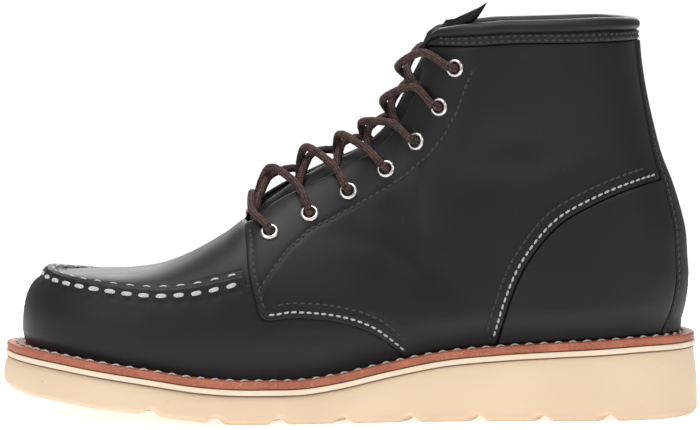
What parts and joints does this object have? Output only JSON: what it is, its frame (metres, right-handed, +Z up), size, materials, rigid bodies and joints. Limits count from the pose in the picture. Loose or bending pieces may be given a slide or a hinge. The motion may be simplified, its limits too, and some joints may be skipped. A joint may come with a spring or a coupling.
{
  "type": "work boot",
  "caption": "Ankle-high lace-up work boot with a moc toe, stitched welt and cream wedge sole, hollow inside.",
  "frame": {"origin": "on the floor plane, under the centre of the bounding box of the boot", "axes": "+X from toe to heel along the boot, +Z up from the floor, the outer (lateral) side faces -Y"},
  "size_m": [0.285, 0.1019, 0.1681],
  "materials": {
    "sole": "matte",
    "midsole": "matte",
    "welt": "satin",
    "insole": "matte",
    "leather": "satin",
    "backstay": "matte",
    "tongue": "satin",
    "nickel": "brushed",
    "lace": "matte"
  },
  "bodies": {
    "root": {"outsole": "sole", "midsole": "midsole", "welt": "welt", "insole": "insole", "upper": "leather", "tongue": "tongue", "quarter_lateral": "leather", "quarter_medial": "leather", "counter_lateral": "leather", "counter_medial": "leather", "backstay": "backstay", "collar_band": "leather", "eyelet_lateral_1": "nickel", "eyelet_lateral_2": "nickel", "eyelet_lateral_3": "nickel", "eyelet_lateral_4": "nickel", "eyelet_lateral_5": "nickel", "eyelet_lateral_6": "nickel", "eyelet_lateral_7": "nickel", "eyelet_medial_1": "nickel", "eyelet_medial_2": "nickel", "eyelet_medial_3": "nickel", "eyelet_medial_4": "nickel", "eyelet_medial_5": "nickel", "eyelet_medial_6": "nickel", "eyelet_medial_7": "nickel", "lace_bar": "lace", "lace_crossing_1": "lace", "lace_crossing_2": "lace", "lace_crossing_3": "lace", "lace_crossing_4": "lace", "lace_crossing_5": "lace", "lace_crossing_6": "lace"}
  },
  "joints": []
}
